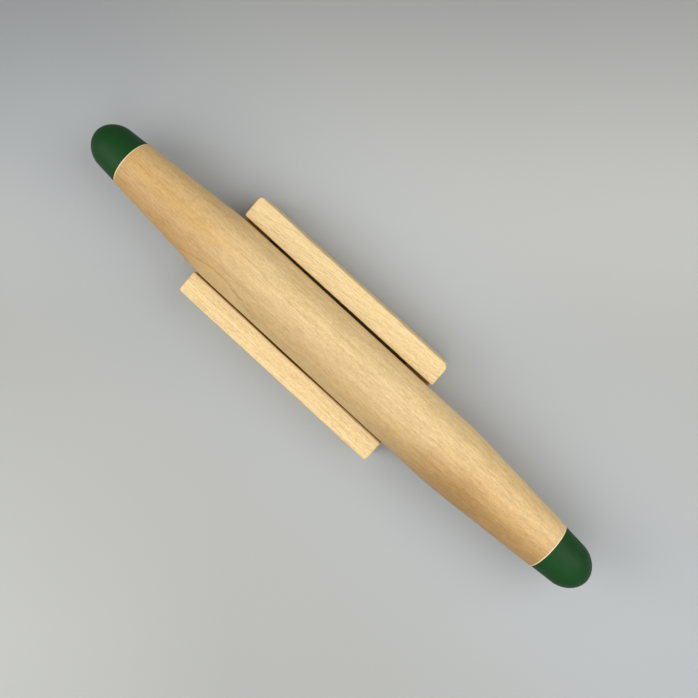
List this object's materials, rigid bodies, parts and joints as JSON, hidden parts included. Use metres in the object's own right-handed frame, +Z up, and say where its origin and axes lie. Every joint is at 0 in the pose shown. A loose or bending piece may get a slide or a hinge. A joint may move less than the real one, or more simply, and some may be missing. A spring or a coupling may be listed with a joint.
{
  "type": "foot massage roller",
  "caption": "Long wooden roller, straight in the middle and tapered to rounded dark-green ends, lying loose in a low cradle of parallel wooden rails.",
  "frame": {"origin": "on the floor, under the middle of the roller's length and axis", "axes": "+X along the roller to its right end, +Y to the rear rail, +Z up"},
  "size_m": [0.46, 0.0886, 0.0635],
  "materials": {
    "roller_wood": "turned pale hardwood, satin wax",
    "cradle_wood": "sanded pale hardwood, satin wax",
    "cap_paint": "turned wood under dark-green satin paint",
    "dowel_wood": "unfinished hardwood dowel",
    "felt": "pressed wool felt",
    "pad_rubber": "matte rubber"
  },
  "bodies": {
    "cradle": {"front_rail": "cradle_wood", "rear_rail": "cradle_wood", "left_saddle": "cradle_wood", "right_saddle": "cradle_wood", "left_felt_liner": "felt", "right_felt_liner": "felt", "frame_dowels": "dowel_wood", "pad_front_left": "pad_rubber", "pad_front_right": "pad_rubber", "pad_rear_left": "pad_rubber", "pad_rear_right": "pad_rubber"},
    "roller_carrier": {"left_cap_dowel": "dowel_wood", "right_cap_dowel": "dowel_wood"},
    "roller": {"roller_body": "roller_wood", "left_end_cap": "cap_paint", "right_end_cap": "cap_paint"}
  },
  "joints": [
    {"name": "roller_lift", "type": "slide", "parent": "cradle", "child": "roller_carrier", "axis": [0, 0, 1], "range_m": [0, 0.08]},
    {"name": "roller_spin", "type": "hinge", "parent": "roller_carrier", "child": "roller", "pos_m": [0, 0, 0.0385], "axis": [1, 0, 0], "continuous": true}
  ]
}
